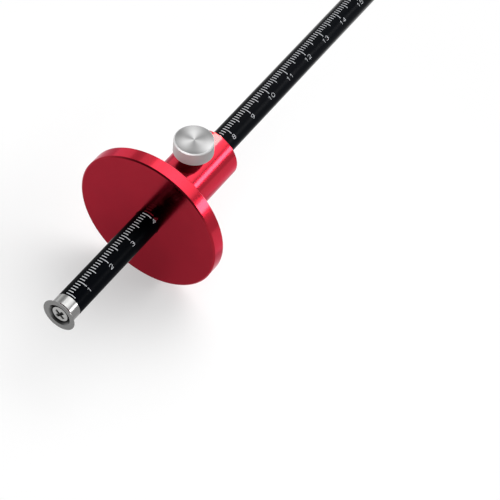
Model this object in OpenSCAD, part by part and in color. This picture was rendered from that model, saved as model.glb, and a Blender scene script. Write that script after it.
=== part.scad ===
// Wheel marking gauge: a round graduated bar slides and turns in a turned fence,
// carries a hardened cutter wheel on its front end and is held by a side clamp screw.
// The bar lies along X with the cutter towards +X, the clamp screw points up along +Z,
// and the origin is the centre of the fence's reference face. All sizes are in millimetres.

/* [Bar] */
// Diameter of the bar
bar_d = 7.6; // [6.8:0.1:9]
// Overall length from the cutting edge to the tail
overall_l = 180; // [150:1:260]
// Chamfer on both ends of the bar
bar_chamfer = 0.2; // [0.1:0.05:0.7]
// Distance from the reference face to the cutting edge, as set here
reach = 40.5; // [10:0.5:90]

/* [Fence] */
// Diameter of the disc that bears on the work
disc_d = 44.8; // [32:0.2:60]
// Thickness of the disc
disc_t = 4.6; // [3:0.1:7]
// Chamfer on both edges of the disc's rim
rim_chamfer = 0.4; // [0.1:0.05:0.8]
// Diameter of the conical boss where it meets the disc
boss_d = 24.6; // [21:0.2:28]
// Length of the conical boss along the bar
boss_l = 7.2; // [4:0.2:9]
// Radius of the fillet between disc and boss
boss_fillet = 0.6; // [0.2:0.1:1.5]
// Diameter of the barrel
barrel_d = 16.4; // [15:0.1:19]
// Length of the whole fence along the bar
fence_l = 33.3; // [32:0.1:50]
// Chamfer on the barrel's rear edge
barrel_chamfer = 0.4; // [0.1:0.05:1]
// Chamfer on both mouths of the bore
bore_chamfer = 0.1; // [0.1:0.05:0.6]

/* [Friction ring] */
// Thickness of the rubber ring that drags on the bar
ring_t = 1.6; // [1:0.1:2]
// Distance from the rear end of the fence to the middle of the ring
ring_inset = 5.1; // [3:0.1:6]

/* [Cutter wheel] */
// Diameter of the cutting edge
wheel_d = 10.1; // [9.2:0.1:12]
// Length of the wheel along the bar
wheel_l = 4.3; // [3.6:0.1:6]
// Step from the bar's surface down to the wheel's plain neck
neck_step = 0; // [0:0.05:0.4]
// Length of the flare that rises to the cutting edge
flare_l = 1.1; // [0.8:0.1:2]
// Depth of the hollow ground into the flare
flare_hollow = 0.22; // [0.05:0.01:0.3]
// Thickness of the cutting edge
edge_t = 0.06; // [0.02:0.01:0.2]
// Depth of the screw seat below the front face
seat_depth = 1.7; // [1.4:0.1:2.2]
// Diameter of the dished mouth in the front face
dish_d = 7; // [6.2:0.1:8]
// Depth of the dished mouth
dish_depth = 0.8; // [0.3:0.1:1.2]

/* [Cutter screw] */
// Thread diameter of the screw
screw_d = 3; // [2:0.1:3.5]
// Length of the screw under its head
screw_l = 8; // [6:0.5:14]
// Diameter of the screw's head
head_d = 5; // [4.6:0.1:5.4]
// Height of the screw's head
head_h = 1.4; // [1:0.1:1.7]
// Chamfer on the head's outer edge
head_chamfer = 0.22; // [0.1:0.02:0.3]
// Tip to tip width of the cross recess
cross_w = 3.3; // [2:0.1:3.4]
// Width of each arm of the cross recess
cross_slot = 0.85; // [0.5:0.05:1]
// Depth of the cross recess
cross_depth = 0.8; // [0.4:0.1:0.9]
// Angle at which the cross stopped when the screw was tightened
cross_turn = 50; // [0:1:90]

/* [Clamp] */
// Distance from the reference face to the clamp screw's axis
clamp_x = 22; // [18.5:0.1:23]
// Diameter of the knob
knob_d = 11.6; // [9:0.1:14]
// Height of the knob
knob_h = 4.6; // [3.4:0.1:8]
// Chamfer on both edges of the knob
knob_chamfer = 0.3; // [0.1:0.05:0.6]
// Gap between the barrel and the knob when clamped
knob_gap = 1.8; // [0.4:0.1:4]
// Thread diameter of the stud
stud_d = 4; // [3.5:0.1:5]
// Depth to which the stud is set in the knob
stud_grip = 2.9; // [1.5:0.1:3]
// Diameter of the pressure pad under the stud
pad_d = 3.2; // [2.4:0.1:3.4]
// Height of the pressure pad over the bar
pad_h = 1.2; // [0.8:0.1:2.5]

/* [Fits] */
// Running clearance between bar and bore, on the radius
bore_gap = 0.05; // [0.02:0.01:0.1]
// Clearance round threads that are drawn plain, on the radius
thread_gap = 0.05; // [0.02:0.01:0.1]
// Clearance round the screw's head and shank in the wheel, on the radius
screw_gap = 0.2; // [0.05:0.05:0.3]
// Clearance between pieces that press on each other
seat_gap = 0.03; // [0.01:0.01:0.05]

/* [Hidden] */
$fn = 128;

// Radii of the turned pieces
bar_r = bar_d / 2;
bore_r = bar_r + bore_gap;
disc_r = disc_d / 2;
boss_r = boss_d / 2;
barrel_r = barrel_d / 2;
neck_r = bar_r - neck_step;
edge_r = wheel_d / 2;

// Stations along the bar, in X
bar_front = reach - wheel_l;
bar_tail = reach - overall_l;
disc_back = -disc_t;
boss_end = disc_back - boss_l;
fence_back = -fence_l;
ring_x = fence_back + ring_inset;

// Heights above the bar's axis, in Z
pad_top = bar_r + seat_gap + pad_h;
stud_bottom = pad_top + seat_gap;
knob_bottom = barrel_r + knob_gap;
stud_top = knob_bottom + stud_grip;

// Friction ring and the groove that holds it
ring_mid_r = bar_r + seat_gap + ring_t / 2;
groove_r = ring_mid_r + ring_t / 2 + seat_gap;
groove_w = ring_t + 2 * seat_gap;

// Cutter screw: stations along the bar and the tapped hole that takes it
screw_seat = reach - seat_depth;
screw_tip = screw_seat - screw_l;
tap_runout = 1;
pocket_r = head_d / 2 + screw_gap;

// A cut runs this far past the surface that it opens
past = 1;

// Turns a profile drawn as [radius, X] about the bar's axis
module turned_on_bar() {
    rotate([0, 90, 0]) rotate_extrude() children();
}

// Turns a profile drawn as [radius, Z] about the clamp screw's axis
module turned_on_clamp() {
    translate([-clamp_x, 0, 0]) rotate_extrude() children();
}

// Unit vector along v
function unit(v) = v / norm(v);

// Fillet that fills the inner corner at p between edges that leave it along a and b
module corner_fillet(p, a, b, radius) {
    half = acos(unit(a) * unit(b)) / 2;
    run = radius / tan(half);
    centre = p + unit(unit(a) + unit(b)) * radius / sin(half);
    difference() {
        polygon([p, p + unit(a) * run, p + unit(b) * run]);
        translate(centre) circle(radius);
    }
}

// Outline of the fence without its bore: disc, conical boss and barrel
module fence_outline() {
    corner = [boss_r, disc_back];
    boss_foot = [barrel_r, boss_end];
    polygon([
        [0, 0],
        [disc_r - rim_chamfer, 0],
        [disc_r, -rim_chamfer],
        [disc_r, disc_back + rim_chamfer],
        [disc_r - rim_chamfer, disc_back],
        corner,
        boss_foot,
        [barrel_r, fence_back + barrel_chamfer],
        [barrel_r - barrel_chamfer, fence_back],
        [0, fence_back]
    ]);
    corner_fillet(corner, [1, 0], boss_foot - corner, boss_fillet);
}

// Bore with chamfered mouths and the groove for the friction ring
module fence_bore() {
    mouth_r = bore_r + bore_chamfer;
    polygon([
        [0, past],
        [mouth_r, past],
        [mouth_r, 0],
        [bore_r, -bore_chamfer],
        [bore_r, fence_back + bore_chamfer],
        [mouth_r, fence_back],
        [mouth_r, fence_back - past],
        [0, fence_back - past]
    ]);
    translate([0, ring_x - groove_w / 2]) square([groove_r, groove_w]);
}

// Fence: one turned piece with a cross hole for the clamp screw
module fence() {
    color("crimson") difference() {
        turned_on_bar() difference() {
            fence_outline();
            fence_bore();
        }
        translate([-clamp_x, 0, 0]) cylinder(r = stud_d / 2 + thread_gap, h = barrel_r + past);
    }
}

// Bar: round, chamfered at both ends, tapped at the front for the cutter screw
module bar() {
    color("#202226") turned_on_bar() difference() {
        polygon([
            [0, bar_front],
            [bar_r - bar_chamfer, bar_front],
            [bar_r, bar_front - bar_chamfer],
            [bar_r, bar_tail + bar_chamfer],
            [bar_r - bar_chamfer, bar_tail],
            [0, bar_tail]
        ]);
        translate([0, screw_tip - tap_runout])
            square([screw_d / 2 + thread_gap, bar_front - screw_tip + tap_runout + past]);
    }
}

// Friction ring: a rubber ring in the fence's groove
module friction_ring() {
    color("dimgray") turned_on_bar() translate([ring_mid_r, ring_x]) circle(d = ring_t);
}

// Outline of the wheel: a plain neck and a hollow-ground flare that ends in the cutting edge
module wheel_outline() {
    flare_start = [neck_r, reach - flare_l];
    edge = [edge_r, reach - edge_t];
    chord = norm(edge - flare_start);
    grind_r = (chord * chord / 4 + flare_hollow * flare_hollow) / (2 * flare_hollow);
    along = unit(edge - flare_start);
    outward = [along.y, -along.x];
    grind_centre = (flare_start + edge) / 2 + outward * (grind_r - flare_hollow);
    difference() {
        polygon([
            [0, bar_front],
            [neck_r, bar_front],
            flare_start,
            edge,
            [edge_r, reach],
            [0, reach]
        ]);
        intersection() {
            translate(grind_centre) circle(grind_r);
            translate(flare_start) square([edge_r, flare_l]);
        }
    }
}

// Cutter wheel: a hardened ring with a dished mouth and a seat for the screw's head
module cutter_wheel() {
    color("silver") turned_on_bar() difference() {
        wheel_outline();
        polygon([
            [0, reach + past],
            [dish_d / 2, reach + past],
            [dish_d / 2, reach],
            [pocket_r, reach - dish_depth],
            [pocket_r, screw_seat],
            [screw_d / 2 + screw_gap, screw_seat],
            [screw_d / 2 + screw_gap, bar_front - past],
            [0, bar_front - past]
        ]);
    }
}

// Cutter screw: a low head with a cross recess on a plain shank
module cutter_screw() {
    head_top = screw_seat + head_h;
    color("lightgray") difference() {
        turned_on_bar() polygon([
            [0, screw_tip],
            [screw_d / 2, screw_tip],
            [screw_d / 2, screw_seat],
            [head_d / 2, screw_seat],
            [head_d / 2, head_top - head_chamfer],
            [head_d / 2 - head_chamfer, head_top],
            [0, head_top]
        ]);
        translate([head_top - cross_depth, 0, 0]) rotate([0, 90, 0]) rotate(cross_turn)
            for (arm = [0, 90])
                rotate(arm) translate([-cross_w / 2, -cross_slot / 2, 0])
                    cube([cross_w, cross_slot, cross_depth + past]);
    }
}

// Clamp knob: a low turned button with a blind hole for the stud
module clamp_knob() {
    knob_r = knob_d / 2;
    knob_top = knob_bottom + knob_h;
    color("lightsteelblue") turned_on_clamp() difference() {
        polygon([
            [0, knob_bottom],
            [knob_r - knob_chamfer, knob_bottom],
            [knob_r, knob_bottom + knob_chamfer],
            [knob_r, knob_top - knob_chamfer],
            [knob_r - knob_chamfer, knob_top],
            [0, knob_top]
        ]);
        translate([0, knob_bottom - past]) square([stud_d / 2 + thread_gap, stud_grip + past]);
    }
}

// Clamp stud: fixed in the knob, it screws down through the barrel
module clamp_stud() {
    color("gray") translate([-clamp_x, 0, stud_bottom]) cylinder(d = stud_d, h = stud_top - stud_bottom);
}

// Clamp pad: a brass slug with a saddle foot, between the stud and the bar
module clamp_pad() {
    color("goldenrod") difference() {
        translate([-clamp_x, 0, 0]) cylinder(d = pad_d, h = pad_top);
        translate([-clamp_x - pad_d, 0, 0]) rotate([0, 90, 0]) cylinder(r = bar_r + seat_gap, h = 2 * pad_d);
    }
}

fence();
bar();
friction_ring();
cutter_wheel();
cutter_screw();
clamp_knob();
clamp_stud();
clamp_pad();
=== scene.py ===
# %% [markdown]
# # A wheel marking gauge, dressed in Blender
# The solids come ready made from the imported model. This lesson keeps the ones whose shape is already
# right, gives every surface a finish, rebuilds four pieces that deserve more detail, and lays two scales
# on the bar. All lengths are in metres in the model's own frame: the bar lies along X with the cutter
# towards +X, the clamp knob points up along +Z, and the origin is the middle of the fence's face.

# %% Load the fixed frame and measure it
import math

import bmesh
import bpy
from mathutils import Matrix, Vector


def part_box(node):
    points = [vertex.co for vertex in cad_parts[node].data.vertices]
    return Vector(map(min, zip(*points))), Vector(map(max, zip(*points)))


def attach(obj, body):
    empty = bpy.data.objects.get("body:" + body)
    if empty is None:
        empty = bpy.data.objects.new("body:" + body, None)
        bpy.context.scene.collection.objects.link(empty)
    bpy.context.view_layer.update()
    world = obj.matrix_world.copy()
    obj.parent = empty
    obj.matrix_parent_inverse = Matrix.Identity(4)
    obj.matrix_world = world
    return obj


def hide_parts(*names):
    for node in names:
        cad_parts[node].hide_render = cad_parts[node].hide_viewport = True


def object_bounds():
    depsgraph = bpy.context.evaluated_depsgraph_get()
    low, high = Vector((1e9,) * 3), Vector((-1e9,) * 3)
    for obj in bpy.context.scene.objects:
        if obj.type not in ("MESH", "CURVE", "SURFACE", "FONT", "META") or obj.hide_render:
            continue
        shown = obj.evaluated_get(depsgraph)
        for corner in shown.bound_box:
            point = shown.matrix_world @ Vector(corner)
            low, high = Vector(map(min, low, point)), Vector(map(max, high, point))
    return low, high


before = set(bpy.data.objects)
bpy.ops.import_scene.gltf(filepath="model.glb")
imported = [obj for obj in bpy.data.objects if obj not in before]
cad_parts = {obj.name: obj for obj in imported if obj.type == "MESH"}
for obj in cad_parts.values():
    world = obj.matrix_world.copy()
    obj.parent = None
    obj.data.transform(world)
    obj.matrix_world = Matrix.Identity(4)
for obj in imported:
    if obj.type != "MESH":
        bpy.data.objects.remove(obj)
cad_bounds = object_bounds()
MM = 0.001

bar_low, bar_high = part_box("bar")
screw_low, screw_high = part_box("cutter_screw")
knob_low, knob_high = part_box("clamp_knob")
stud_low, stud_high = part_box("clamp_stud")

bar_radius = bar_high[2]
cutting_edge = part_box("cutter_wheel")[1][0]
print("bar radius", bar_radius, "cutting edge at", cutting_edge)

# %% [markdown]
# ## Helpers for node trees
# Materials and Geometry Nodes are both trees of nodes joined by links. One helper makes a node, sets its
# options and fills its inputs: a socket is linked, anything else is written in as a constant. The next
# three do sums with nodes, so that a formula stays readable, and the last starts a group with named
# sockets, which works like a function.

# %% Node helpers
SOCKET_TYPES = {"Vector": "NodeSocketVector", "Geometry": "NodeSocketGeometry", "Count": "NodeSocketInt"}


def add_node(tree, kind, inputs=None, **options):
    """A new node in the tree. Inputs are given by name or number, as a socket to link or a constant."""
    node = tree.nodes.new(kind)
    for name, value in options.items():
        setattr(node, name, value)
    for name, value in (inputs or {}).items():
        if isinstance(value, bpy.types.NodeSocket):
            tree.links.new(value, node.inputs[name])
        else:
            node.inputs[name].default_value = value
    return node


def calc(tree, operation, *values):
    """The output of a Math node that works on the given sockets or numbers."""
    return add_node(tree, "ShaderNodeMath", dict(enumerate(values)), operation=operation).outputs[0]


def hypotenuse(tree, a, b):
    """The length of the flat vector (a, b)."""
    return calc(tree, "SQRT", calc(tree, "ADD", calc(tree, "POWER", a, 2), calc(tree, "POWER", b, 2)))


def remap(tree, value, old_range, new_range, smooth=False):
    """The value carried from one range over to another, which it doesn't leave."""
    ends = dict(enumerate((value, *old_range, *new_range)))
    easing = "SMOOTHSTEP" if smooth else "LINEAR"
    return add_node(tree, "ShaderNodeMapRange", ends, interpolation_type=easing).outputs[0]


def group_tree(name, kind, inputs, output):
    """A node group with named sockets. Gives its tree, its input sockets and its output socket."""
    tree = bpy.data.node_groups.new(name, kind)
    for in_out, sockets in (("INPUT", inputs), ("OUTPUT", [output])):
        for socket in sockets:
            socket_type = SOCKET_TYPES.get(socket, "NodeSocketFloat")
            tree.interface.new_socket(name=socket, in_out=in_out, socket_type=socket_type)
    given = tree.nodes.new("NodeGroupInput")
    return tree, given.outputs, tree.nodes.new("NodeGroupOutput").inputs[0]


print("helpers ready")

# %% [markdown]
# ## The camera
# The photograph was taken from the front right and well above, a long lens, slightly rolled. A camera is
# set here by what a photographer would note down: where it looks, from which side, from how high, how far
# away and how much it is rolled. The view was fitted to the marks on the metric scale.

# %% Camera
LOOK_AT = Vector((-10.82, 27.23, -2.77)) * MM
CAMERA_AZIMUTH = math.radians(28.02)
CAMERA_ELEVATION = math.radians(49.5)
CAMERA_ROLL = math.radians(-6.61)
CAMERA_DISTANCE = 563.27 * MM
CAMERA_LENS = 147.2
NEAREST_SEEN = 0.01


def direction(azimuth, elevation):
    """Unit vector towards a point of the sky, with the azimuth counted from +X towards +Y."""
    level = math.cos(elevation)
    return Vector((level * math.cos(azimuth), level * math.sin(azimuth), math.sin(elevation)))


def added(name, data):
    """A new object with this data, in the scene."""
    thing = bpy.data.objects.new(name, data)
    bpy.context.scene.collection.objects.link(thing)
    return thing


towards_camera = direction(CAMERA_AZIMUTH, CAMERA_ELEVATION)
level_right = Vector((0, 0, 1)).cross(towards_camera).normalized()
level_up = towards_camera.cross(level_right)
camera_up = level_up * math.cos(CAMERA_ROLL) + level_right * math.sin(CAMERA_ROLL)
camera_right = camera_up.cross(towards_camera)
camera = added("camera", bpy.data.cameras.new("camera"))
camera.data.lens = CAMERA_LENS
camera.data.clip_start = NEAREST_SEEN
turn = Matrix((camera_right, camera_up, towards_camera)).transposed().to_4x4()
camera.matrix_world = Matrix.Translation(LOOK_AT + towards_camera * CAMERA_DISTANCE) @ turn
bpy.context.scene.camera = camera
bpy.context.scene.view_settings.view_transform = "Standard"
print("camera at", tuple(round(c, 4) for c in camera.location))

# %% [markdown]
# ## Floor
# The gauge stands on a pale floor that reads as white but still takes a shadow. A floor bright enough to
# be white by light alone would burn out the gauge, so for rays from the camera, and for rays that a shiny
# or clear surface sends on, a share of plain white light is mixed in. The rest stays an ordinary matt
# floor, which darkens where the gauge keeps the light off. Further out the share grows until the floor is
# plain white, like a paper sweep that runs up behind the gauge.

# %% Floor
FLOOR_SIZE = 60.0
FLOOR_GREY = (0.92, 0.92, 0.92, 1)
GLOW_NEAR = 0.45
SWEEP_START = 0.025
SWEEP_END = 0.13

floor_paint = bpy.data.materials.new("floor_paint")
floor_paint.use_nodes = True
tree = floor_paint.node_tree
tree.nodes.clear()
matt = add_node(tree, "ShaderNodeBsdfDiffuse", {"Color": FLOOR_GREY})
glow = add_node(tree, "ShaderNodeEmission", {"Color": (1, 1, 1, 1), "Strength": 1.0})
path = add_node(tree, "ShaderNodeLightPath")
seen = calc(tree, "MAXIMUM", path.outputs["Is Camera Ray"], path.outputs["Is Glossy Ray"])
seen = calc(tree, "MAXIMUM", seen, path.outputs["Is Transmission Ray"])
floor_place = add_node(tree, "ShaderNodeTexCoord").outputs["Object"]
away = add_node(tree, "ShaderNodeVectorMath", {0: floor_place}, operation="LENGTH").outputs["Value"]
glowing = remap(tree, away, (SWEEP_START, SWEEP_END), (GLOW_NEAR, 1), smooth=True)
share = calc(tree, "MULTIPLY", seen, glowing)
mixed = add_node(tree, "ShaderNodeMixShader", {0: share, 1: matt.outputs[0], 2: glow.outputs[0]})
add_node(tree, "ShaderNodeOutputMaterial", {"Surface": mixed.outputs[0]})

floor_mesh = bpy.data.meshes.new("floor")
floor_level = cad_bounds[0][2]
half = FLOOR_SIZE / 2
corners = [(x * half, y * half, floor_level) for x, y in ((-1, -1), (1, -1), (1, 1), (-1, 1))]
floor_mesh.from_pydata(corners, [], [(0, 1, 2, 3)])
floor_mesh.materials.append(floor_paint)
floor = added("floor", floor_mesh)
print("floor at", floor_level)

# %% [markdown]
# ## Lamps, told by how they look
# Polished metal shows the studio more than it shows itself. So a lamp is told here by where it is seen
# from the gauge and by how bright the middle of its face looks, because that is what metal mirrors, and
# its power is worked out from that. A grid narrows a soft box, so that its ends fade. Light linking
# chooses the pieces that a lamp reaches, which a photographer does with flags and cards.

# %% Lamp helpers
LAMP_TARGET = Vector((-8, 0, 2)) * MM
NO_GRID = math.radians(178)


def soft_box(name, towards, distance, size, brightness, grid=NO_GRID, target=LAMP_TARGET, colour=(1, 1, 1)):
    """A rectangular lamp seen that way from the target. Its middle has that radiance; grid is its spread."""
    width, height = size
    data = bpy.data.lights.new(name, "AREA")
    data.shape = "RECTANGLE"
    data.size = width
    data.size_y = height
    data.spread = grid
    data.color = colour
    half_grid = grid / 2
    gathered = math.tan(half_grid) / (math.tan(half_grid) - half_grid)
    data.energy = brightness * math.pi * width * height / gathered
    lamp = added(name, data)
    facing = Vector(towards).normalized()
    turn = facing.to_track_quat("Z", "Y").to_matrix().to_4x4()
    lamp.matrix_world = Matrix.Translation(target + facing * distance) @ turn
    lamp.visible_camera = False
    return lamp


def link_light(lamp, pieces, state):
    """INCLUDE lets the lamp light these pieces and nothing else, EXCLUDE everything but these pieces."""
    linked = bpy.data.collections.new(lamp.name + "_linked")
    for piece in pieces:
        linked.objects.link(piece)
    lamp.light_linking.receiver_collection = linked
    for member in linked.collection_objects:
        member.light_linking.link_state = state


print("lamps look at", tuple(LAMP_TARGET))

# %% [markdown]
# ## Studio lamps
# The lamps are placed by what the turned surfaces reflect in the photograph: one long soft box behind and
# above, which whitens the top of the barrel and the rim, and a low strip behind on the right, which draws
# the sharp bright line beside it. Two weak panels on the left keep the far flanks from going black. Two
# small cards stand close to the barrel and light the fence alone: the first gives the pale glare behind the
# knob, the second lifts the right flank.

# %% Studio lamps
BOX_GRID = math.radians(86)
BARREL_REAR = Vector((-31, 1.4, 8.1)) * MM
BARREL_FLANK = Vector((-20, 7.92, 2.12)) * MM
WARM = (1, 1, 0.55)

overhead_box = soft_box(
    "overhead_box", (-0.57, 0.13, 0.81), distance=0.75, size=(0.82, 0.5), brightness=4.6, grid=BOX_GRID
)
soft_box("left_panel", (-0.57, -0.42, 0.70), distance=0.75, size=(0.22, 0.5), brightness=0.9)
low_strip = soft_box("low_strip", (-0.57, 0.75, 0.33), distance=0.8, size=(0.7, 0.16), brightness=14.0)
soft_box("left_wall", (-0.6, -0.78, 0.15), distance=0.75, size=(0.6, 0.4), brightness=0.8)
rear_card = soft_box(
    "rear_card", (-0.594, -0.08, 0.80), distance=0.06, size=(0.036, 0.012), brightness=40.0,
    target=BARREL_REAR, colour=WARM,
)
flank_card = soft_box(
    "flank_card", (-0.594, 0.667, -0.451), distance=0.03, size=(0.07, 0.024), brightness=0.6,
    target=BARREL_FLANK,
)
for card in (rear_card, flank_card):
    link_light(card, [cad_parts["fence"]], "INCLUDE")

# %% [markdown]
# ## Walls of the studio
# Between the lamps, metal mirrors the room. A sky of one brightness would make all flanks alike, so this
# one is dim overhead and in front and grows bright low behind the gauge and beside it.

# %% Walls
WALL_WAY = (-0.6, 0, -0.8)
DIM_FROM = -0.85
BRIGHT_FROM = -0.1
DIM = 0.15
BRIGHT = 1.0

world = bpy.data.worlds.new("studio_walls")
world.use_nodes = True
bpy.context.scene.world = world
tree = world.node_tree
tree.nodes.clear()
sky_way = add_node(tree, "ShaderNodeTexCoord").outputs["Generated"]
facing = add_node(tree, "ShaderNodeVectorMath", {0: sky_way, 1: WALL_WAY}, operation="DOT_PRODUCT")
wall = remap(tree, facing.outputs["Value"], (DIM_FROM, BRIGHT_FROM), (DIM, BRIGHT), smooth=True)
shade = add_node(tree, "ShaderNodeBackground", {"Color": (1, 1, 1, 1), "Strength": wall})
add_node(tree, "ShaderNodeOutputWorld", {"Surface": shade.outputs[0]})
print("walls from", DIM, "to", BRIGHT)

# %% [markdown]
# ## Effects that several finishes share
# Every metal piece here left a lathe, and a lathe tool leaves fine rings round its axis. The ring pattern
# depends only on how far a point is along the axis and how far out it is, so one noise that reads the sum
# of both draws rings on faces, cylinders and cones alike. The second group gives broad soft patches, as
# handling and cleaning leave them, which vary the gloss a little. The third finds the inside of a recess,
# where the colour is darkened as painted shade.


# %% Shared shader groups
def make_lathe_rings():
    """Group: fine rings about the X axis of the vector, as a height from 0 to 1."""
    tree, value, result = group_tree("lathe_rings", "ShaderNodeTree", ("Vector", "Pitch"), "Height")
    part = add_node(tree, "ShaderNodeSeparateXYZ", {0: value["Vector"]}).outputs
    out = hypotenuse(tree, part[1], part[2])
    along = calc(tree, "DIVIDE", calc(tree, "ADD", part[0], out), value["Pitch"])
    noise = {"W": along, "Scale": 1.0, "Detail": 2.0, "Roughness": 0.6}
    rings = add_node(tree, "ShaderNodeTexNoise", noise, noise_dimensions="1D")
    tree.links.new(rings.outputs[0], result)
    return tree


def make_handling():
    """Group: broad soft patches from 0 to 1."""
    tree, value, result = group_tree("handling", "ShaderNodeTree", ("Vector", "Scale"), "Patches")
    clouds = {"Vector": value["Vector"], "Scale": value["Scale"], "Detail": 4.0, "Roughness": 0.55}
    noise = add_node(tree, "ShaderNodeTexNoise", clouds)
    tree.links.new(remap(tree, noise.outputs[0], (0.3, 0.7), (0, 1)), result)
    return tree


def make_recess():
    """Group: how deep a point lies inside a round recess that opens towards +X, from 0 to 1, as a mask for
    painted shade.
    """
    inputs = ("Vector", "Face", "Mouth Radius", "Depth")
    tree, value, result = group_tree("recess", "ShaderNodeTree", inputs, "Mask")
    part = add_node(tree, "ShaderNodeSeparateXYZ", {0: value["Vector"]}).outputs
    inside = calc(tree, "LESS_THAN", hypotenuse(tree, part[1], part[2]), value["Mouth Radius"])
    below = calc(tree, "DIVIDE", calc(tree, "SUBTRACT", value["Face"], part[0]), value["Depth"])
    deep = add_node(tree, "ShaderNodeClamp", {"Value": below}).outputs[0]
    tree.links.new(calc(tree, "MULTIPLY", inside, deep), result)
    return tree


lathe_rings = make_lathe_rings()
handling = make_handling()
recess = make_recess()
print("groups", lathe_rings.name, handling.name, recess.name)

# %% [markdown]
# ## One recipe for all finishes
# Every finish is a Principled shader with a colour that darkens a little in places, a roughness that soft
# patches move between two values, and a very shallow bump. What is the same all over the piece is written
# straight into the shader's own socket.

# %% Finish helpers
PATCH_SCALE = 120.0


def new_material(name):
    """A material with its default shader, the place in its object's frame, and soft patches over it."""
    material = bpy.data.materials.new(name)
    material.use_nodes = True
    place = add_node(material.node_tree, "ShaderNodeTexCoord").outputs["Object"]
    spots = {"Vector": place, "Scale": PATCH_SCALE}
    patches = add_node(material.node_tree, "ShaderNodeGroup", spots, node_tree=handling)
    return material, place, patches.outputs[0]


def fill_shader(tree, colour, darkening, blend, rough, patches, bump, fixed):
    """Colour, roughness and bump for the tree's shader. Blend darkens the colour, patches move the gloss."""
    shader = tree.nodes["Principled BSDF"]
    height, strength, depth = bump
    darker = [c * (1 - darkening) for c in colour]
    paint = add_node(tree, "ShaderNodeMix", {0: blend, 6: (*colour, 1), 7: (*darker, 1)}, data_type="RGBA")
    roughness = remap(tree, patches, (0, 1), rough)
    relief = add_node(tree, "ShaderNodeBump", {"Height": height, "Strength": strength, "Distance": depth})
    tree.links.new(paint.outputs[2], shader.inputs["Base Color"])
    tree.links.new(roughness, shader.inputs["Roughness"])
    tree.links.new(relief.outputs[0], shader.inputs["Normal"])
    for socket, value in fixed.items():
        shader.inputs[socket].default_value = value


print("finish helpers ready")

# %% [markdown]
# ## Metal finishes
# All the metals are turned, so their bump is the rings of the lathe, about the bar's axis or, for the knob,
# about an upright one. Red anodising is a dyed clear layer on aluminium: the red is the metal's colour and
# a weak coat gives the layer's own gloss. The wheel's dished mouth gets painted shade: its colour is darkened
# as a recess.

# %% Metals
METAL_TINT = 0.06
RING_STRENGTH = 0.5
# Painted shade: inside a recess the metal's colour falls to this share of itself.
RECESS_SHADE = 0.08
MOUTH_RADIUS = 3.55 * MM
MOUTH_FADE = 0.6 * MM


def metal(name, colour, rough, ring_pitch, ring_depth, axis_at=(0, 0, 0), upright=False, fixed=None):
    """A turned metal finish. axis_at is on the lathe's axis, which lies along X or, upright, along Z."""
    material, place, patches = new_material(name)
    tree = material.node_tree
    centred = add_node(tree, "ShaderNodeVectorMath", {0: place, 1: axis_at}, operation="SUBTRACT").outputs[0]
    if upright:
        quarter = (0, math.radians(90), 0)
        centred = add_node(tree, "ShaderNodeMapping", {"Vector": centred, "Rotation": quarter}).outputs[0]
    rings = add_node(tree, "ShaderNodeGroup", {"Vector": centred, "Pitch": ring_pitch}, node_tree=lathe_rings)
    bump = (rings.outputs[0], RING_STRENGTH, ring_depth)
    fixed = {"Metallic": 1.0, **(fixed or {})}
    fill_shader(tree, colour, METAL_TINT, patches, rough, patches, bump, fixed)
    return material


def darken_recess(material, face, mouth_radius, depth):
    """Paints shade into a recess that opens towards +X: the metal's colour falls off inside it."""
    tree = material.node_tree
    base = tree.nodes["Principled BSDF"].inputs["Base Color"]
    unshaded_colour = base.links[0].from_socket
    place = add_node(tree, "ShaderNodeTexCoord").outputs["Object"]
    sizes = {"Vector": place, "Face": face, "Mouth Radius": mouth_radius, "Depth": depth}
    inside = add_node(tree, "ShaderNodeGroup", sizes, node_tree=recess)
    share = remap(tree, inside.outputs["Mask"], (0, 1), (1, RECESS_SHADE))
    painted_shade = add_node(tree, "ShaderNodeVectorMath", {0: unshaded_colour, "Scale": share}, operation="SCALE")
    tree.links.new(painted_shade.outputs[0], base)


red_anodised = metal(
    "red_anodised", (0.315, 0.008, 0.020), (0.16, 0.22), 0.09 * MM, 0.0004 * MM,
    fixed={"Coat Weight": 0.12, "Coat Roughness": 0.08, "Coat IOR": 1.6, "Specular Tint": (1, 0.5, 0.58, 1)},
)
cutter_steel = metal("cutter_steel", (0.205, 0.205, 0.203), (0.16, 0.26), 0.06 * MM, 0.0012 * MM)
# Painted shade in the wheel's dished mouth.
darken_recess(cutter_steel, cutting_edge, MOUTH_RADIUS, MOUTH_FADE)
screw_steel = metal("screw_steel", (0.45, 0.45, 0.445), (0.22, 0.32), 0.08 * MM, 0.001 * MM)
brass = metal("brass", (0.72, 0.48, 0.2), (0.25, 0.38), 0.08 * MM, 0.001 * MM)
print("metals", red_anodised.name, cutter_steel.name, screw_steel.name, brass.name)

# %% [markdown]
# ## Black anodising, rubber and scale marks
# The bar is dyed black in the same way as the fence is dyed red, but the dye hides the metal, so it is
# treated as a dark coat that shines only where it is seen edge on. The friction ring is plain rubber with
# a matt bloom. The marks are cut into the black by a laser, which leaves a pale grain.

# %% Dark and matt finishes
GRAIN_STRENGTH = 0.4
SHINE_FROM = 0.62
SHINE_MOST = 0.8


def coated(name, colour, rough, grain_scale, grain_depth, darkening=0.15, fixed=None):
    """A finish that isn't bare metal: a fine grain as bump, which darkens the colour too."""
    material, place, patches = new_material(name)
    tree = material.node_tree
    noise = {"Vector": place, "Scale": grain_scale, "Detail": 3.0}
    grain = add_node(tree, "ShaderNodeTexNoise", noise).outputs[0]
    bump = (grain, GRAIN_STRENGTH, grain_depth)
    fill_shader(tree, colour, darkening, grain, rough, patches, bump, fixed or {})
    return material


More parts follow.
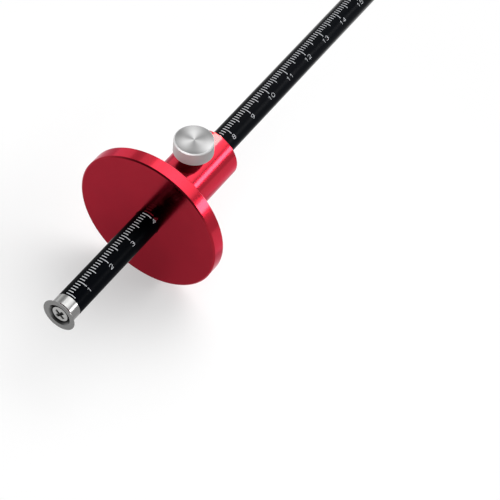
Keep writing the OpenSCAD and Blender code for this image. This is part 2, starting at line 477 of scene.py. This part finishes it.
black_anodised = coated(
    "black_anodised", (0.0009, 0.0014, 0.0025), (0.30, 0.40), 9000.0, 0.001 * MM,
    fixed={"Specular IOR Level": 0.015, "Coat Roughness": 0.2},
)
tree = black_anodised.node_tree
edge_on = add_node(tree, "ShaderNodeLayerWeight").outputs["Facing"]
shine = remap(tree, edge_on, (SHINE_FROM, 1), (0, SHINE_MOST))
tree.links.new(shine, tree.nodes["Principled BSDF"].inputs["Coat Weight"])
rubber = coated(
    "rubber", (0.02, 0.02, 0.021), (0.6, 0.75), 5000.0, 0.004 * MM, fixed={"Specular IOR Level": 0.3}
)
scale_white = coated("scale_white", (0.68, 0.70, 0.73), (0.5, 0.65), 14000.0, 0.002 * MM, darkening=0.1)
print("coats", black_anodised.name, rubber.name, scale_white.name)

# %% [markdown]
# ## Pieces that keep their solid
# The fence, the cutter wheel, the friction ring and the clamp pad already have their true shape, so they
# keep it and only take their finish. Replacing the material in the object's own slot is enough.

# %% Finish the kept solids
KEPT_SOLIDS = {
    "fence": red_anodised,
    "cutter_wheel": cutter_steel,
    "friction_ring": rubber,
    "clamp_pad": brass,
}
for node_name, finish in KEPT_SOLIDS.items():
    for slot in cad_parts[node_name].material_slots:
        slot.material = finish
print("kept", list(KEPT_SOLIDS))

# %% [markdown]
# ## Turning a profile
# A lathe makes a shape from a line drawn beside its axis. The same can be done with the Screw modifier or
# with bmesh's spin, but both leave a seam to weld. Placing rings of points directly gives a closed, evenly
# divided mesh with outward faces, and a point on the axis becomes a single pole.

# %% Lathe helper
SHARP_CORNER = math.radians(30)


def turned(name, profile, steps, place, finish):
    """A solid of revolution from a list of (along, radius). Place maps (along, radius, angle) to a point."""
    mesh = bmesh.new()
    rings = []
    for along, radius in profile:
        if radius == 0:
            rings.append([mesh.verts.new(place(along, 0, 0))])
        else:
            rings.append([mesh.verts.new(place(along, radius, math.tau * i / steps)) for i in range(steps)])
    for before, after in zip(rings, rings[1:]):
        for i in range(steps):
            j = (i + 1) % steps
            corners = ((before, i), (before, j), (after, j), (after, i))
            mesh.faces.new(list(dict.fromkeys(ring[k % len(ring)] for ring, k in corners)))
    bmesh.ops.recalc_face_normals(mesh, faces=mesh.faces)
    return finished(name, mesh, finish)


def finished(name, mesh, finish):
    """The bmesh as an object in the scene, smooth but with its corners kept crisp."""
    data = bpy.data.meshes.new(name)
    mesh.to_mesh(data)
    mesh.free()
    data.materials.append(finish)
    data.shade_smooth()
    data.set_sharp_from_angle(angle=SHARP_CORNER)
    return added(name, data)


def along_bar(along, radius, angle):
    """A point at that distance along X and that radius from the bar's axis."""
    return (along, radius * math.sin(angle), radius * math.cos(angle))


clamp_x = (knob_low[0] + knob_high[0]) / 2


def along_clamp(along, radius, angle):
    """A point at that height and that radius from the clamp screw's axis."""
    return (clamp_x + radius * math.cos(angle), radius * math.sin(angle), along)


print("clamp axis at", round(clamp_x, 5))

# %% [markdown]
# ## Bar
# The bar is a drawn rod, faced and chamfered at both ends and tapped for the cutter screw. The solid's
# mesh is a little coarse for the marks that sit on it, so the bar is turned again in finer steps, with the
# corners of its chamfers eased as tumbling leaves them.

# %% Bar
BAR_CHAMFER = 0.2 * MM
BAR_EASE = 0.08 * MM
TAP_RADIUS = 1.55 * MM
TAP_DEPTH = bar_high[0] - screw_low[0] + 1 * MM
BAR_STEPS = 96

front, tail = bar_high[0], bar_low[0]


def eased_end(end, inward):
    """Profile of a chamfered end with eased corners, from its face inward, which is +1 or -1 along X."""
    return [
        (end, bar_radius - BAR_CHAMFER - BAR_EASE),
        (end + inward * BAR_EASE / 2, bar_radius - BAR_CHAMFER + BAR_EASE / 2),
        (end + inward * (BAR_CHAMFER - BAR_EASE / 2), bar_radius - BAR_EASE / 2),
        (end + inward * (BAR_CHAMFER + BAR_EASE), bar_radius),
    ]


bar_profile = [(front - TAP_DEPTH, 0), (front - TAP_DEPTH, TAP_RADIUS), (front, TAP_RADIUS)]
bar_profile += [*eased_end(front, -1), *reversed(eased_end(tail, 1)), (tail, 0)]
bar = turned("graduated_bar", bar_profile, BAR_STEPS, along_bar, black_anodised)
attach(bar, "bar")
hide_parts("bar")
print("bar faces", len(bar.data.polygons))

# %% [markdown]
# ## Scale marks with Geometry Nodes
# The marks repeat at even steps, so a small tree makes them: points on a line, a thin block on each point,
# and one Set Position that wraps the flat row round the bar. Each rank of mark is one modifier with its
# own first place, step, count and length, and each modifier adds its rank to what came before. The row is
# laid out flat first: X runs along the bar, Y is the distance round it and Z the height over its surface.

# %% Tree for one rank of marks
MARK_BENDS = 8


def make_rank_tree(finish):
    """Geometry Nodes: adds a row of thin blocks, wrapped round the X axis."""
    sizes = ("First", "Step", "Length", "Width", "Thickness", "Sunk", "Radius", "Angle")
    inputs = ("Geometry", "Count", *sizes)
    tree, value, result = group_tree("rank_of_marks", "GeometryNodeTree", inputs, "Geometry")
    start = add_node(tree, "ShaderNodeCombineXYZ", {0: value["First"]}).outputs[0]
    step = add_node(tree, "ShaderNodeCombineXYZ", {0: value["Step"]}).outputs[0]
    spacing = {"Count": value["Count"], "Start Location": start, "Offset": step}
    row = add_node(tree, "GeometryNodeMeshLine", spacing)
    length = calc(tree, "ABSOLUTE", value["Length"])
    size = add_node(tree, "ShaderNodeCombineXYZ", {0: value["Width"], 1: length, 2: value["Thickness"]})
    grid = {"Size": size.outputs[0], "Vertices X": 2, "Vertices Y": MARK_BENDS, "Vertices Z": 2}
    block = add_node(tree, "GeometryNodeMeshCube", grid)
    height = calc(tree, "SUBTRACT", calc(tree, "DIVIDE", value["Thickness"], 2.0), value["Sunk"])
    lift = add_node(tree, "ShaderNodeCombineXYZ", {1: calc(tree, "DIVIDE", value["Length"], 2.0), 2: height})
    shift = {"Geometry": block.outputs[0], "Translation": lift.outputs[0]}
    raised = add_node(tree, "GeometryNodeTransform", shift)
    spread = {"Points": row.outputs[0], "Instance": raised.outputs[0]}
    copies = add_node(tree, "GeometryNodeInstanceOnPoints", spread)
    flat = add_node(tree, "GeometryNodeRealizeInstances", {0: copies.outputs[0]})
    place = add_node(tree, "GeometryNodeInputPosition").outputs[0]
    at = add_node(tree, "ShaderNodeSeparateXYZ", {0: place}).outputs
    angle = calc(tree, "ADD", value["Angle"], calc(tree, "DIVIDE", at[1], value["Radius"]))
    out = calc(tree, "ADD", value["Radius"], at[2])
    y = calc(tree, "MULTIPLY", out, calc(tree, "SINE", angle))
    z = calc(tree, "MULTIPLY", out, calc(tree, "COSINE", angle))
    there = add_node(tree, "ShaderNodeCombineXYZ", {0: at[0], 1: y, 2: z}).outputs[0]
    wrapped = add_node(tree, "GeometryNodeSetPosition", {"Geometry": flat.outputs[0], "Position": there})
    painted = add_node(tree, "GeometryNodeSetMaterial", {"Geometry": wrapped.outputs[0], "Material": finish})
    joined = add_node(tree, "GeometryNodeJoinGeometry")
    tree.links.new(painted.outputs[0], joined.inputs[0])
    tree.links.new(value["Geometry"], joined.inputs[0])
    tree.links.new(joined.outputs[0], result)
    return tree


rank_tree = make_rank_tree(scale_white)
print("rank nodes", len(rank_tree.nodes))

# %% [markdown]
# ## From a tree to a plain mesh
# A Geometry Nodes tree works on an object as a modifier. One helper puts a tree on an object and fills its
# inputs by name. Another reads the finished mesh into a new object and drops the old one.


# %% Modifier helpers
def add_tree(builder, tree, settings):
    """Puts the tree on the object as a modifier and fills its inputs by name."""
    modifier = builder.modifiers.new(tree.name, "NODES")
    modifier.node_group = tree
    for item in tree.interface.items_tree:
        if item.in_out == "INPUT" and item.name in settings:
            modifier[item.identifier] = settings[item.name]


def plain_mesh(name, builder):
    """The builder object's evaluated mesh as a plain object. The builder and its modifiers are removed."""
    graph = bpy.context.evaluated_depsgraph_get()
    data = bpy.data.meshes.new_from_object(builder.evaluated_get(graph), depsgraph=graph)
    data.name = name
    old = builder.data
    bpy.data.objects.remove(builder)
    bpy.data.meshes.remove(old)
    return added(name, data)


print("modifier helpers ready")

# %% [markdown]
# ## Rows of marks
# A mark's place is its distance from the cutting edge, so each row starts at the edge and runs towards the
# tail. The metric rows share their upper ends and the inch rows, on the opposite side of the bar, share
# their lower ends. A negative length lets a mark run the other way round the bar.

# %% Metric and inch marks
MARK_WIDTH = 0.25 * MM
MARK_THICKNESS = 0.07 * MM
MARK_PROUD = 0.012 * MM
LAST_MARK = 172 * MM
INCH = 25.4 * MM
METRIC_LINE = math.radians(-19)
INCH_LINE = math.radians(184)
SHORT_MARK = 1.6 * MM
MIDDLE_MARK = 2.4 * MM
LONG_MARK = 3.0 * MM


def row_of_marks(name, ranks, line):
    """One scale's marks. Each rank is (first mark, step, length); line is the angle of the shared ends."""
    builder = added(name + "_builder", bpy.data.meshes.new(name + "_builder"))
    for first, step, length in ranks:
        settings = {
            "First": cutting_edge - first,
            "Step": -step,
            "Count": int((LAST_MARK - first) / step) + 1,
            "Length": length,
            "Width": MARK_WIDTH,
            "Thickness": MARK_THICKNESS,
            "Sunk": MARK_THICKNESS - MARK_PROUD,
            "Radius": bar_radius,
            "Angle": line,
        }
        add_tree(builder, rank_tree, settings)
    piece = plain_mesh(name, builder)
    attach(piece, "bar")
    return piece


metric_ranks = [(first * MM, 5 * MM, SHORT_MARK) for first in (6, 7, 8, 9)]
metric_ranks += [
    (15 * MM, 10 * MM, MIDDLE_MARK),
    (10 * MM, 10 * MM, LONG_MARK),
    (5 * MM, LAST_MARK, LONG_MARK),
]
inch_ranks = [
    (5 / 16 * INCH, INCH / 8, -1.3 * MM),
    (6 / 16 * INCH, INCH / 4, -1.75 * MM),
    (4 / 16 * INCH, INCH / 2, -2.2 * MM),
    (8 / 16 * INCH, INCH, -2.6 * MM),
    (INCH, INCH, -2.9 * MM),
]
metric_marks = row_of_marks("metric_marks", metric_ranks, METRIC_LINE)
inch_marks = row_of_marks("inch_marks", inch_ranks, INCH_LINE)
print("metric faces", len(metric_marks.data.polygons), "inch faces", len(inch_marks.data.polygons))

# %% [markdown]
# ## Figures as strokes
# An engraver draws a figure as a few strokes of one width, wide and plain. Each figure here is drawn the
# same way in a square one unit wide and high: lines through a few points, and arcs given by a centre, two
# radii and two angles. A six turned upside down is a nine.


# %% Strokes of the figures
def arc(x, y, across, up, start, end, steps=14):
    """Points on an ellipse about (x, y), from one angle to the other in degrees."""
    angles = [math.radians(start + (end - start) * i / steps) for i in range(steps + 1)]
    return [(x + across * math.cos(angle), y + up * math.sin(angle)) for angle in angles]


SIX = [arc(0.5, 0.3, 0.44, 0.3, 180, 540), arc(0.8, 0.3, 0.74, 0.7, 180, 98)]
STROKES = {
    "0": [arc(0.5, 0.5, 0.46, 0.5, 90, 450, 20)],
    "1": [[(0.22, 0.72), (0.58, 1.0), (0.58, 0.0)]],
    "2": [arc(0.5, 0.7, 0.42, 0.3, 165, -38) + [(0.06, 0.0), (0.96, 0.0)]],
    "3": [arc(0.48, 0.76, 0.38, 0.24, 150, -90) + arc(0.48, 0.26, 0.44, 0.26, 90, -155)],
    "4": [[(0.72, 0.0), (0.72, 1.0), (0.04, 0.27), (0.98, 0.27)]],
    "5": [[(0.9, 1.0), (0.18, 1.0), (0.12, 0.55)] + arc(0.48, 0.33, 0.46, 0.33, 130, -150)],
    "6": SIX,
    "7": [[(0.06, 1.0), (0.94, 1.0), (0.36, 0.0)]],
    "8": [arc(0.5, 0.76, 0.36, 0.24, 270, 630), arc(0.5, 0.26, 0.45, 0.26, 90, 450)],
    "9": [[(1 - x, 1 - y) for x, y in stroke] for stroke in SIX],
    "/": [[(0.12, -0.05), (0.88, 1.05)]],
}
print("figures", "".join(STROKES))

# %% [markdown]
# ## Ribbons from strokes
# A stroke becomes a ribbon: every point gets one corner on each side of the stroke, above and below the
# surface. Long straight strokes are cut into short pieces first, because a flat piece laid over a round
# bar would sink into it in the middle.

# %% Ribbon helpers
STROKE_WIDTH = 0.135 * MM
STROKE_PIECE = 0.2 * MM
SAME_POINT = 1e-7


def in_short_pieces(points, longest):
    """The points with more points put between them, so that no piece is longer than given."""
    result = [points[0]]
    for before, after in zip(points, points[1:]):
        pieces = max(1, math.ceil((after - before).length / longest))
        result += [before.lerp(after, i / pieces) for i in range(1, pieces + 1)]
    return result


def add_ribbon(mesh, points, place):
    """Adds a closed ribbon along the points. Place maps (x, y, height) on the flat scale to space."""
    closed = (points[0] - points[-1]).length < SAME_POINT
    if closed:
        points = points[:-1]
    count = len(points)
    rings = []
    for i, point in enumerate(points):
        before = points[i - 1] if closed or i else point
        after = points[(i + 1) % count] if closed or i + 1 < count else point
        way = (after - before).normalized()
        side = Vector((-way.y, way.x)) * STROKE_WIDTH / 2
        corners = [(side, MARK_PROUD), (-side, MARK_PROUD), (-side, -MARK_THICKNESS), (side, -MARK_THICKNESS)]
        rings.append([mesh.verts.new(place(*(point + shift), height)) for shift, height in corners])
    last = count if closed else count - 1
    for i in range(last):
        ring, following = rings[i], rings[(i + 1) % count]
        for k in range(len(ring)):
            mesh.faces.new((ring[k - 1], ring[k], following[k], following[k - 1]))
    if not closed:
        mesh.faces.new(rings[0])
        mesh.faces.new(rings[-1][::-1])


print("strokes are", STROKE_WIDTH, "wide")

# %% [markdown]
# ## Numbers on the bar
# Each number stands at its own distance from the cutting edge. It is laid out flat, and every corner of its
# ribbons is carried round the bar as it is made. A whole row is one mesh.

# %% Numbers on both scales
FIGURE_GAP = 0.28
METRIC_FOOT = math.radians(53)
WHOLE_FOOT = INCH_LINE - math.radians(46)
HALF_FOOT = INCH_LINE - math.radians(42)


def scale_place(distance, foot):
    """Maps (x, y, height) of a flat label to the bar. It stands at that distance and on that angle."""

    def on_bar(x, y, over):
        return along_bar(cutting_edge - distance - x, bar_radius + over, foot - y / bar_radius)

    return on_bar


def row_of_numbers(name, labels, foot, height, width):
    """Numbers on the bar. Each label is (words, distance from the edge); foot is the angle they stand on."""
    mesh = bmesh.new()
    for words, distance in labels:
        half_length = (len(words) + (len(words) - 1) * FIGURE_GAP) * width / 2
        for number, sign in enumerate(words):
            left = number * (1 + FIGURE_GAP) * width - half_length
            for stroke in STROKES[sign]:
                flat = [Vector((left + x * width, y * height)) for x, y in stroke]
                add_ribbon(mesh, in_short_pieces(flat, STROKE_PIECE), scale_place(distance, foot))
    bmesh.ops.recalc_face_normals(mesh, faces=mesh.faces)
    piece = finished(name, mesh, scale_white)
    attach(piece, "bar")
    return piece


metric_labels = [(str(n), 10 * n * MM) for n in range(1, 18)]
inch_wholes = [(str(n), n * INCH) for n in range(1, 7)]
inch_halves = [("1/2", (n + 0.5) * INCH) for n in range(0, 7)]
metric_numbers = row_of_numbers(
    "metric_numbers", metric_labels, METRIC_FOOT, height=1.25 * MM, width=1.3 * MM
)
inch_numbers = row_of_numbers("inch_numbers", inch_wholes, WHOLE_FOOT, height=1.4 * MM, width=1.6 * MM)
inch_half_numbers = row_of_numbers(
    "inch_half_numbers", inch_halves, HALF_FOOT, height=1.25 * MM, width=1.2 * MM
)
print("numbers", len(metric_labels), len(inch_wholes), len(inch_halves))

# %% [markdown]
# ## Light on the scales
# The scales are evenly bright in the photograph right up to the fence, where the disc would shade them. So
# they get a lamp of their own in the camera's direction, and the big box overhead is kept off them.

# %% Light on the scales
scale_pieces = [metric_marks, inch_marks, metric_numbers, inch_numbers, inch_half_numbers]
scale_fill = soft_box("scale_fill", towards_camera, distance=0.6, size=(0.3, 0.3), brightness=6.5)
link_light(scale_fill, scale_pieces, "INCLUDE")
link_light(overhead_box, scale_pieces, "EXCLUDE")
print("scale pieces", len(scale_pieces))

# %% [markdown]
# ## Cutter screw
# A small cross-head screw holds the wheel. Its head is a low dome, and the cross recess has sloping walls
# that meet in a point, as a punch forms it. Cutting it with a boolean would leave ragged faces, so the top
# of the head is a fine round grid whose points are pushed down where the recess lies. Its steel is
# darkened there with painted shade, like the wheel's mouth.

# %% Cutter screw
CROSS_REACH = 1.65 * MM
CROSS_HALF_WIDTH = 0.46 * MM
CROSS_WALL = 0.16 * MM
CROSS_DEPTH = 0.85 * MM
CROSS_TURN = math.radians(50)
CROSS_ROUNDING = 0.45
CROSS_MOUTH = 1.6 * MM
CROSS_FADE = 0.3 * MM
HEAD_HEIGHT = 1.4 * MM
HEAD_DOME = 0.08 * MM
HEAD_EASE = 0.22 * MM
HEAD_CORNER = 0.3 * HEAD_EASE
HEAD_RINGS = 34
HEAD_STEPS = 144
SHANK_RADIUS = 1.5 * MM
ROUNDING_ERROR = 1e-9

head_top = screw_high[0]
head_radius = screw_high[1]
head_seat = head_top - HEAD_HEIGHT


def recess_depth(y, z):
    """How far the cross recess lies below the head at this point."""
    across = y * math.cos(CROSS_TURN) + z * math.sin(CROSS_TURN)
    upward = z * math.cos(CROSS_TURN) - y * math.sin(CROSS_TURN)
    deepest = 0.0
    for length, width in ((abs(across), abs(upward)), (abs(upward), abs(across))):
        wall = min(max((CROSS_HALF_WIDTH - width) / CROSS_WALL, 0), 1)
        slope = min(max((CROSS_REACH - length) / CROSS_REACH, 0), 1)
        deepest = max(deepest, CROSS_DEPTH * wall * slope**CROSS_ROUNDING)
    return deepest


def on_screw(along, radius, angle):
    """A point of the screw, pressed in where the recess lies."""
    x, y, z = along_bar(along, radius, angle)
    if along > head_top - HEAD_DOME - ROUNDING_ERROR:
        x -= recess_depth(y, z)
    return (x, y, z)


flat_radius = head_radius - HEAD_EASE
screw_profile = [(head_top, 0)]
for ring in range(1, HEAD_RINGS + 1):
    radius = flat_radius * ring / HEAD_RINGS
    screw_profile.append((head_top - HEAD_DOME * (radius / flat_radius) ** 2, radius))
screw_profile += [
    (head_top - HEAD_DOME - HEAD_CORNER, head_radius - HEAD_CORNER),
    (head_top - HEAD_DOME - HEAD_EASE, head_radius),
    (head_seat, head_radius),
    (head_seat, SHANK_RADIUS),
    (screw_low[0], SHANK_RADIUS),
    (screw_low[0], 0),
]
head_steel = metal("head_steel", (0.42, 0.42, 0.415), (0.22, 0.32), 0.08 * MM, 0.001 * MM)
# Painted shade in the cross recess of the head.
darken_recess(head_steel, head_top - HEAD_DOME, CROSS_MOUTH, CROSS_FADE)
cutter_screw = turned("cross_head_screw", screw_profile, HEAD_STEPS, on_screw, head_steel)
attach(cutter_screw, "bar")
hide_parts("cutter_screw")
print("screw faces", len(cutter_screw.data.polygons))

# %% [markdown]
# ## Finishes of the clamp knob
# The knob's top is spun: a tool drawn across it while it turned left rings so fine that they spread every
# highlight across the face. Anisotropy with a tangent that runs round the axis does the same. Three soft
# bright lobes, a reflection of the studio, are painted into the colour, which varies with the angle round
# the axis and leans brighter to one side. The side is frosted: rougher, paler and less like a mirror.

# %% Knob finishes
# Painted reflection: three bright lobes and a lean to one side, drawn into the colour of the knob's top.
PAINTED_LOBES = 3
PAINTED_LOBE_TURN = math.radians(213)
PAINTED_LOBE_DARKEST = 0.5
PAINTED_LOBE_BRIGHTEST = 1.02
PAINTED_LEAN_TURN = math.radians(262)
PAINTED_LEAN_AMOUNT = 0.2


def spun_top(material):
    """Adds a tangent that runs round the knob, and a painted reflection: soft brighter lobes in the colour
    that fan out from its middle.
    """
    tree = material.node_tree
    shader = tree.nodes["Principled BSDF"]
    tangent = add_node(tree, "ShaderNodeTangent", direction_type="RADIAL", axis="Z")
    tree.links.new(tangent.outputs[0], shader.inputs["Tangent"])
    place = add_node(tree, "ShaderNodeTexCoord").outputs["Object"]
    at = add_node(tree, "ShaderNodeSeparateXYZ", {0: place}).outputs
    around = calc(tree, "ARCTAN2", at[1], calc(tree, "SUBTRACT", at[0], clamp_x))
    wave = calc(tree, "COSINE", calc(tree, "MULTIPLY", calc(tree, "SUBTRACT", around, PAINTED_LOBE_TURN), PAINTED_LOBES))
    painted_lean = calc(tree, "COSINE", calc(tree, "SUBTRACT", around, PAINTED_LEAN_TURN))
    brightest = calc(tree, "MULTIPLY_ADD", painted_lean, PAINTED_LEAN_AMOUNT, PAINTED_LOBE_BRIGHTEST)
    share = remap(tree, wave, (-1, 1), (PAINTED_LOBE_DARKEST, brightest))
    plain = shader.inputs["Base Color"].links[0].from_socket
    painted_lobes = add_node(tree, "ShaderNodeVectorMath", {0: plain, "Scale": share}, operation="SCALE")
    tree.links.new(painted_lobes.outputs[0], shader.inputs["Base Color"])
    return material


knob_axis = (clamp_x, 0, 0)
# The top's finish carries the painted reflection of the lobes.
knob_top_finish = spun_top(
    metal(
        "knob_spun", (0.318, 0.318, 0.318), (0.36, 0.42), 0.07 * MM, 0.001 * MM, knob_axis, upright=True,
        fixed={"Anisotropic": 0.45, "Anisotropic Rotation": 0.25},
    )
)
knob_side_finish = metal(
    "knob_frosted", (0.40, 0.405, 0.407), (0.6, 0.7), 0.1 * MM, 0.001 * MM, knob_axis, upright=True,
    fixed={"Metallic": 0.5},
)
print("knob finishes", knob_top_finish.name, knob_side_finish.name)

# %% [markdown]
# ## Grip of the clamp knob
# The side has a shallow grip of crossing grooves, as a knurling wheel rolls it. A Geometry Nodes tree
# presses it into the turned side: two families of helices, one to the left and one to the right, and each
# point goes in as far as the deeper of the two. The tree also tells the spun top from the frosted side.

# %% Tree for the grip
GRIP_COUNT = 84
GRIP_LEAD = 0.46 * MM
GRIP_DEPTH = 0.08 * MM
GRIP_SHARPNESS = 3
GRIP_REACH = 0.995


def make_grip_tree(side_finish, top_finish):
    """Geometry Nodes: presses two families of helical grooves into a turned side that stands upright."""
    inputs = ("Geometry", "Count", "Centre X", "Radius", "Low", "High", "Top", "Lead", "Depth")
    tree, value, result = group_tree("crossing_grooves", "GeometryNodeTree", inputs, "Geometry")
    place = add_node(tree, "GeometryNodeInputPosition").outputs[0]
    at = add_node(tree, "ShaderNodeSeparateXYZ", {0: place}).outputs
    across = calc(tree, "SUBTRACT", at[0], value["Centre X"])
    radius = hypotenuse(tree, across, at[1])
    half_turns = calc(tree, "DIVIDE", calc(tree, "ARCTAN2", at[1], across), math.pi)
    around = calc(tree, "MULTIPLY", half_turns, value["Count"])
    climb = calc(tree, "DIVIDE", calc(tree, "MULTIPLY", at[2], 2), value["Lead"])
    left = calc(tree, "PINGPONG", calc(tree, "ADD", around, climb), 1)
    right = calc(tree, "PINGPONG", calc(tree, "SUBTRACT", around, climb), 1)
    groove = calc(tree, "POWER", calc(tree, "MAXIMUM", left, right), GRIP_SHARPNESS)
    above = calc(tree, "GREATER_THAN", at[2], value["Low"])
    below = calc(tree, "LESS_THAN", at[2], value["High"])
    outside = calc(tree, "GREATER_THAN", radius, calc(tree, "MULTIPLY", value["Radius"], GRIP_REACH))
    here = calc(tree, "MULTIPLY", calc(tree, "MULTIPLY", above, below), outside)
    press = calc(tree, "MULTIPLY", calc(tree, "MULTIPLY", groove, here), value["Depth"])
    shrink = calc(tree, "DIVIDE", calc(tree, "MULTIPLY", press, -1), radius)
    x = calc(tree, "MULTIPLY", across, shrink)
    y = calc(tree, "MULTIPLY", at[1], shrink)
    move = add_node(tree, "ShaderNodeCombineXYZ", {0: x, 1: y}).outputs[0]
    pressed = add_node(tree, "GeometryNodeSetPosition", {"Geometry": value["Geometry"], "Offset": move})
    whole = add_node(tree, "GeometryNodeRealizeInstances", {0: pressed.outputs[0]})
    all_over = {"Geometry": whole.outputs[0], "Material": side_finish}
    frosted = add_node(tree, "GeometryNodeSetMaterial", all_over)
    on_top = calc(tree, "GREATER_THAN", at[2], value["Top"])
    upper = {"Geometry": frosted.outputs[0], "Selection": on_top, "Material": top_finish}
    spun = add_node(tree, "GeometryNodeSetMaterial", upper)
    tree.links.new(spun.outputs[0], result)
    return tree


grip_tree = make_grip_tree(knob_side_finish, knob_top_finish)
print("grip nodes", len(grip_tree.nodes))

# %% [markdown]
# ## Clamp knob
# The knob is a low disc with chamfered edges and a blind hole for the stud. It is turned with many rows
# and steps on its side, so that the grip's tree has points to press in, and then the tree is applied.

# %% Knob
KNOB_CHAMFER = 0.34 * MM
KNOB_EASE = 0.06 * MM
KNOB_STEPS = 504
KNOB_SIDE_ROWS = 44
GRIP_MARGIN = 0.35 * MM
STUD_HOLE = 2.05 * MM

knob_radius = (knob_high[0] - knob_low[0]) / 2
knob_bottom, knob_top = knob_low[2], knob_high[2]
side_low, side_high = knob_bottom + KNOB_CHAMFER, knob_top - KNOB_CHAMFER
knob_profile = [
    (stud_high[2], 0),
    (stud_high[2], STUD_HOLE),
    (knob_bottom, STUD_HOLE),
    (knob_bottom, knob_radius - KNOB_CHAMFER - KNOB_EASE),
    (knob_bottom + KNOB_EASE / 2, knob_radius - KNOB_CHAMFER),
    (side_low - KNOB_EASE / 2, knob_radius - KNOB_EASE / 2),
]
side_step = (side_high - side_low) / KNOB_SIDE_ROWS
knob_profile += [(side_low + side_step * row, knob_radius) for row in range(KNOB_SIDE_ROWS + 1)]
knob_profile += [
    (side_high + KNOB_EASE / 2, knob_radius - KNOB_EASE / 2),
    (knob_top - KNOB_EASE / 2, knob_radius - KNOB_CHAMFER),
    (knob_top, knob_radius - KNOB_CHAMFER - KNOB_EASE),
    (knob_top, knob_radius / 2),
    (knob_top, 0),
]
knob = turned("spun_knob_builder", knob_profile, KNOB_STEPS, along_clamp, knob_side_finish)
grip_settings = {
    "Centre X": clamp_x,
    "Radius": knob_radius,
    "Low": side_low + GRIP_MARGIN,
    "High": side_high - GRIP_MARGIN,
    "Top": knob_top - KNOB_EASE / 4,
    "Lead": GRIP_LEAD,
    "Depth": GRIP_DEPTH,
    "Count": GRIP_COUNT,
}
add_tree(knob, grip_tree, grip_settings)
knob = plain_mesh("spun_knob", knob)
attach(knob, "clamp_screw")
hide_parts("clamp_knob")
print("knob faces", len(knob.data.polygons))

# %% [markdown]
# ## Light on the knob
# In the photograph the knob's side is nearly a neutral grey, though it stands over a red barrel. A lamp
# high on the camera's left lights the knob alone and gives that grey. The low strip is kept off the knob
# and the scales, which it would bleach.

# %% Light on the knob
FILL_AZIMUTH = math.radians(-15)
FILL_ELEVATION = math.radians(50)

towards_fill = direction(FILL_AZIMUTH, FILL_ELEVATION)
knob_fill = soft_box("knob_fill", towards_fill, distance=0.6, size=(0.3, 0.3), brightness=21.0)
link_light(knob_fill, [knob], "INCLUDE")
link_light(low_strip, [knob, *scale_pieces], "EXCLUDE")
print("knob lit from", tuple(round(c, 3) for c in towards_fill))

# %% [markdown]
# ## Thread of the clamp stud
# A thread is a ridge that follows a helix, which is a curve with a profile: the Spiral curve and Curve to
# Mesh make it, and it is laid over a plain core.

# %% Tree for the thread
THREAD_STEPS = 48
RIDGE_CORNERS = 4


def make_thread_tree(finish):
    """Geometry Nodes: lays a sharp ridge along a helix over the geometry that comes in."""
    inputs = ("Geometry", "Turns", "Radius", "Length", "Ridge", "Centre X", "Bottom")
    tree, value, result = group_tree("thread", "GeometryNodeTree", inputs, "Geometry")
    coil = {"Resolution": THREAD_STEPS, "Rotations": value["Turns"], "Height": value["Length"]}
    radii = {"Start Radius": value["Radius"], "End Radius": value["Radius"]}
    helix = add_node(tree, "GeometryNodeCurveSpiral", {**coil, **radii})
    corners = {"Resolution": RIDGE_CORNERS, "Radius": value["Ridge"]}
    section = add_node(tree, "GeometryNodeCurvePrimitiveCircle", corners)
    swept = {"Curve": helix.outputs[0], "Profile Curve": section.outputs[0], "Fill Caps": True}
    ridge = add_node(tree, "GeometryNodeCurveToMesh", swept)
    foot = add_node(tree, "ShaderNodeCombineXYZ", {0: value["Centre X"], 2: value["Bottom"]})
    shift = {"Geometry": ridge.outputs[0], "Translation": foot.outputs[0]}
    placed = add_node(tree, "GeometryNodeTransform", shift)
    joined = add_node(tree, "GeometryNodeJoinGeometry")
    tree.links.new(placed.outputs[0], joined.inputs[0])
    tree.links.new(value["Geometry"], joined.inputs[0])
    whole = add_node(tree, "GeometryNodeRealizeInstances", {0: joined.outputs[0]})
    painted = add_node(tree, "GeometryNodeSetMaterial", {"Geometry": whole.outputs[0], "Material": finish})
    tree.links.new(painted.outputs[0], result)
    return tree


thread_tree = make_thread_tree(screw_steel)
print("thread nodes", len(thread_tree.nodes))

# %% [markdown]
# ## Clamp stud
# The stud is a fine-threaded screw that goes down through the barrel. Its core is turned, and the tree adds
# the thread. Only the ridge's outside touches the size of the solid, so it still runs free in its hole.

# %% Clamp stud
THREAD_PITCH = 0.7 * MM
THREAD_HEIGHT = 0.32 * MM
STUD_EASE = 0.3 * MM

stud_radius = (stud_high[0] - stud_low[0]) / 2
stud_bottom, stud_top = stud_low[2], stud_high[2]
core_radius = stud_radius - THREAD_HEIGHT
stud_profile = [
    (stud_bottom, 0),
    (stud_bottom, core_radius - STUD_EASE),
    (stud_bottom + STUD_EASE, core_radius),
    (stud_top, core_radius),
    (stud_top, 0),
]
stud = turned("threaded_stud_builder", stud_profile, THREAD_STEPS, along_clamp, screw_steel)
thread_length = stud_top - stud_bottom - 2 * STUD_EASE - 2 * THREAD_HEIGHT
thread_settings = {
    "Turns": thread_length / THREAD_PITCH,
    "Radius": core_radius,
    "Length": thread_length,
    "Ridge": THREAD_HEIGHT,
    "Centre X": clamp_x,
    "Bottom": stud_bottom + STUD_EASE + THREAD_HEIGHT,
}
add_tree(stud, thread_tree, thread_settings)
stud = plain_mesh("threaded_stud", stud)
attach(stud, "clamp_screw")
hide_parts("clamp_stud")
print("stud faces", len(stud.data.polygons))

# %% [markdown]
# At the end the scene is brought up to date.

# %% Update the scene
bpy.context.view_layer.update()
